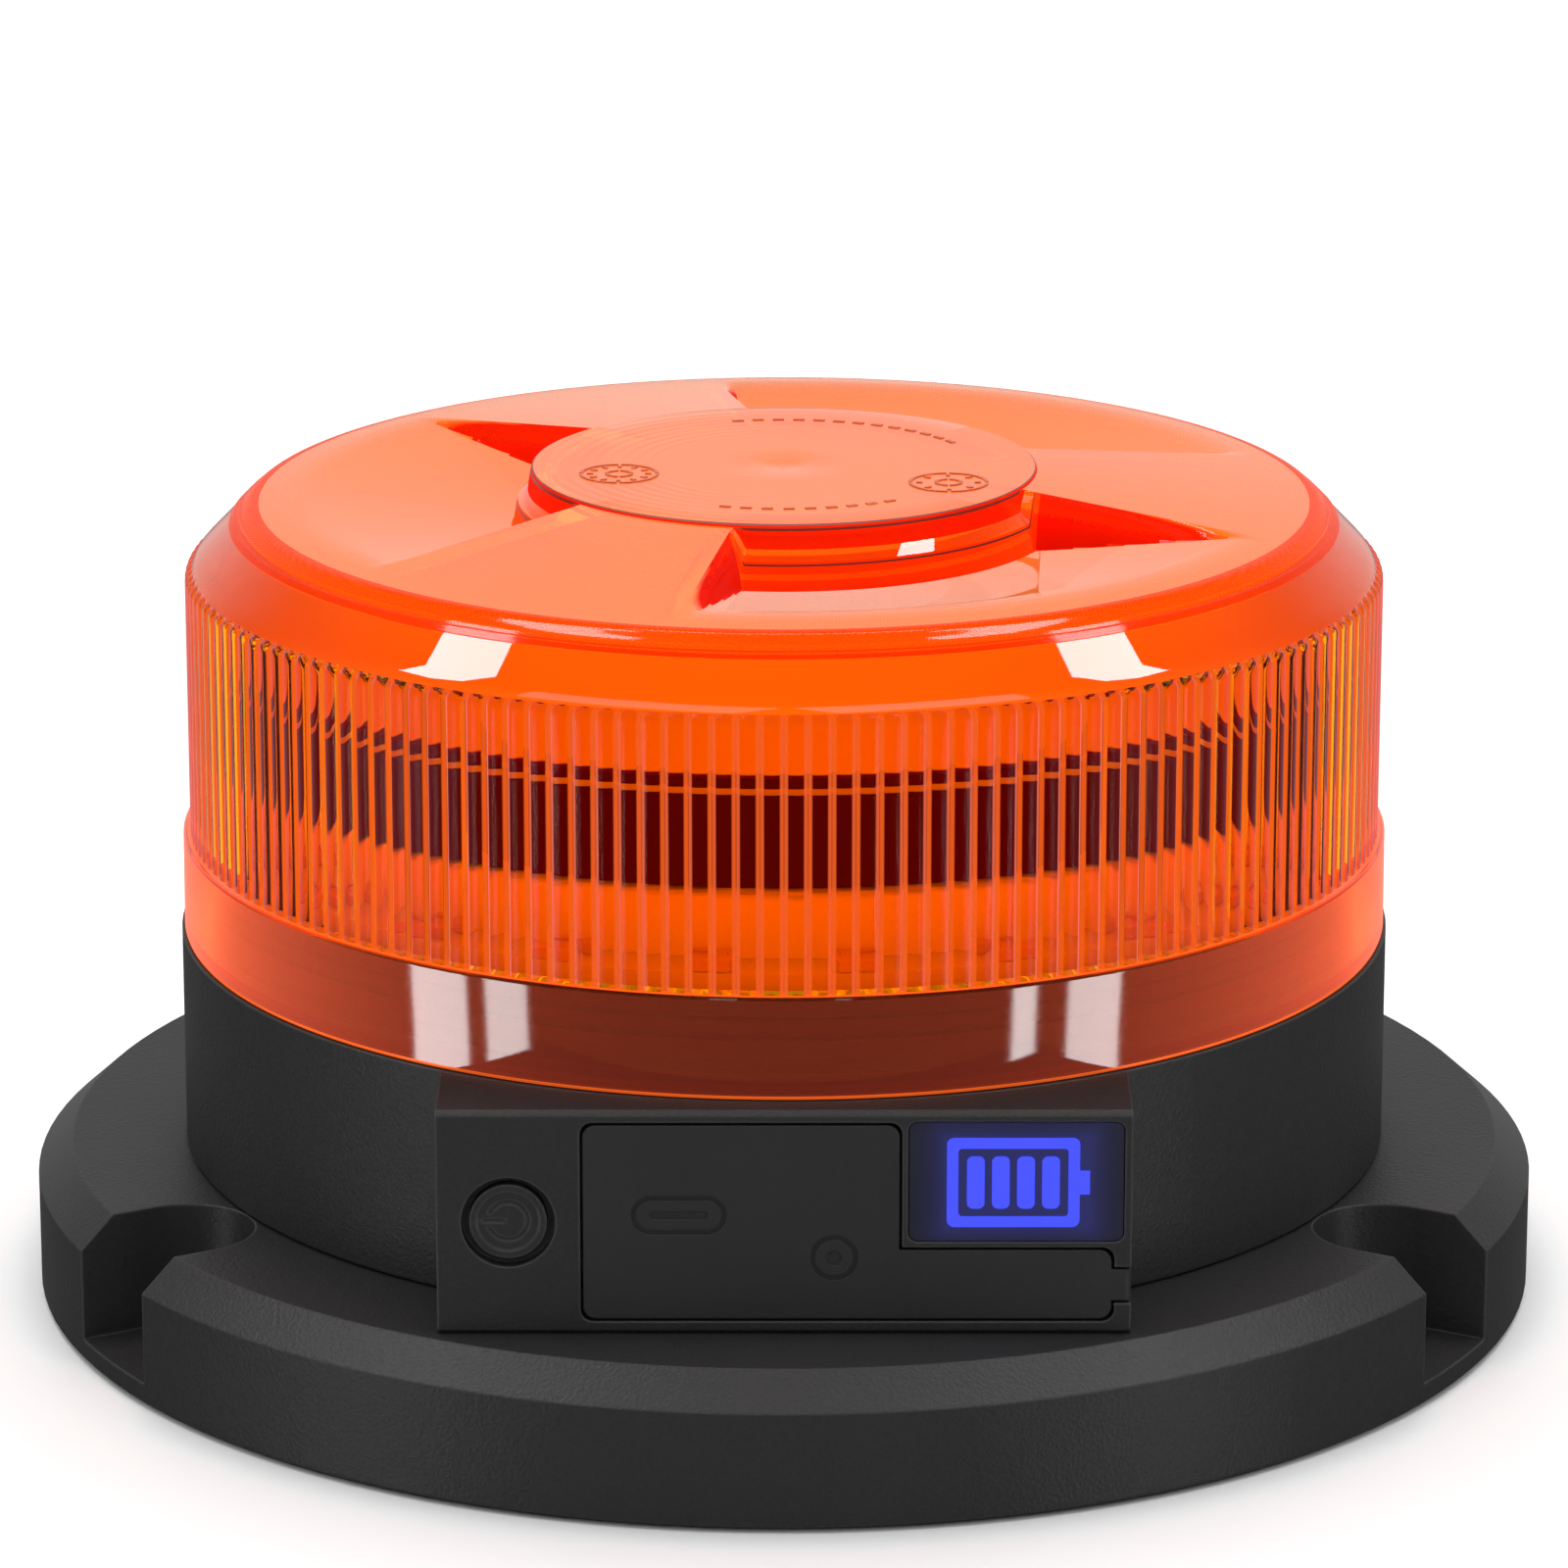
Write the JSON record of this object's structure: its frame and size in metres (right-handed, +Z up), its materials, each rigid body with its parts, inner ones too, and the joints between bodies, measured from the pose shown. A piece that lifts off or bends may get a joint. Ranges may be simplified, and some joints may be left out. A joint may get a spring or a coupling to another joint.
{
  "type": "rechargeable warning beacon",
  "caption": "Low round amber warning beacon with a fluted dome, a front control panel with button, port flap and charge display, and a magnetic flanged base with open screw slots.",
  "frame": {"origin": "centre of the underside, on the surface the beacon stands on", "axes": "+Z up through the dome's centre, -Y out of the control panel, +X to the right when facing the panel"},
  "size_m": [0.13, 0.13, 0.0715],
  "materials": {
    "black_shell": "fine moulded texture",
    "amber_lens": "clear polished polycarbonate",
    "black_rubber": "matte",
    "flap_rubber": "matte",
    "smoked_window": "semi-gloss",
    "blue_icon": "lit",
    "clear_guide": "polished",
    "white_reflector": "satin white",
    "led_phosphor": "smooth",
    "black_film": "satin",
    "zinc_steel": "zinc plated",
    "nickel": "nickel plated",
    "magnet_nickel": "nickel plated",
    "cell_wrap": "shrink film",
    "tray_plastic": "moulded",
    "circuit_board": "solder mask",
    "chip_epoxy": "moulded epoxy",
    "ferrite": "sintered",
    "capacitor_sleeve": "sleeved",
    "header_nylon": "moulded",
    "red_wire": "insulation",
    "white_wire": "insulation",
    "gold_contact": "plated"
  },
  "bodies": {
    "housing": {"base_pad": "black_rubber", "base_flange": "black_shell", "magnet_cups": "zinc_steel", "magnets": "magnet_nickel", "magnet_screws": "zinc_steel", "base_seal": "black_rubber", "body_housing": "black_shell", "body_screws": "zinc_steel", "battery_tray": "tray_plastic", "battery_cells": "cell_wrap", "battery_tabs": "nickel", "driver_board": "circuit_board", "board_screws": "zinc_steel", "power_inductor": "ferrite", "capacitors": "capacitor_sleeve", "control_chips": "chip_epoxy", "wire_header": "header_nylon", "battery_leads": "red_wire", "led_leads": "white_wire", "panel_board": "circuit_board", "panel_screws": "zinc_steel", "usb_c_port": "nickel", "usb_c_tongue": "chip_epoxy", "dc_jack": "chip_epoxy", "dc_pin": "gold_contact", "switch_body": "chip_epoxy", "button_seal": "black_rubber", "flap_root": "flap_rubber", "indicator_window": "smoked_window", "charge_icon": "blue_icon", "light_pipe": "clear_guide", "indicator_leds": "led_phosphor", "lens_seal": "black_rubber", "led_board": "white_reflector", "leds": "led_phosphor", "reflector_ring": "white_reflector", "baffle_drum": "black_film", "drum_cap": "white_reflector", "cap_ring": "black_film", "drum_screws": "zinc_steel", "lens_dome": "amber_lens"},
    "button": {"power_button": "black_shell"},
    "plunger": {"switch_plunger": "header_nylon"},
    "flap": {"port_flap": "flap_rubber"}
  },
  "joints": [
    {"name": "power_press", "type": "slide", "parent": "housing", "child": "button", "axis": [0, 1, 0], "range_m": [0, 0.0005], "stiffness_N_per_m": 800},
    {"name": "switch_press", "type": "slide", "parent": "housing", "child": "plunger", "axis": [0, 1, 0], "range_m": [0, 0.0005]},
    {"name": "flap_hinge", "type": "hinge", "parent": "housing", "child": "flap", "pos_m": [0.0272, -0.0536, 0.017], "axis": [0, 0, 1], "range_deg": [0, 110]}
  ],
  "couplings": [
    {"joint": "switch_press", "follows": "power_press", "ratio": 1}
  ]
}
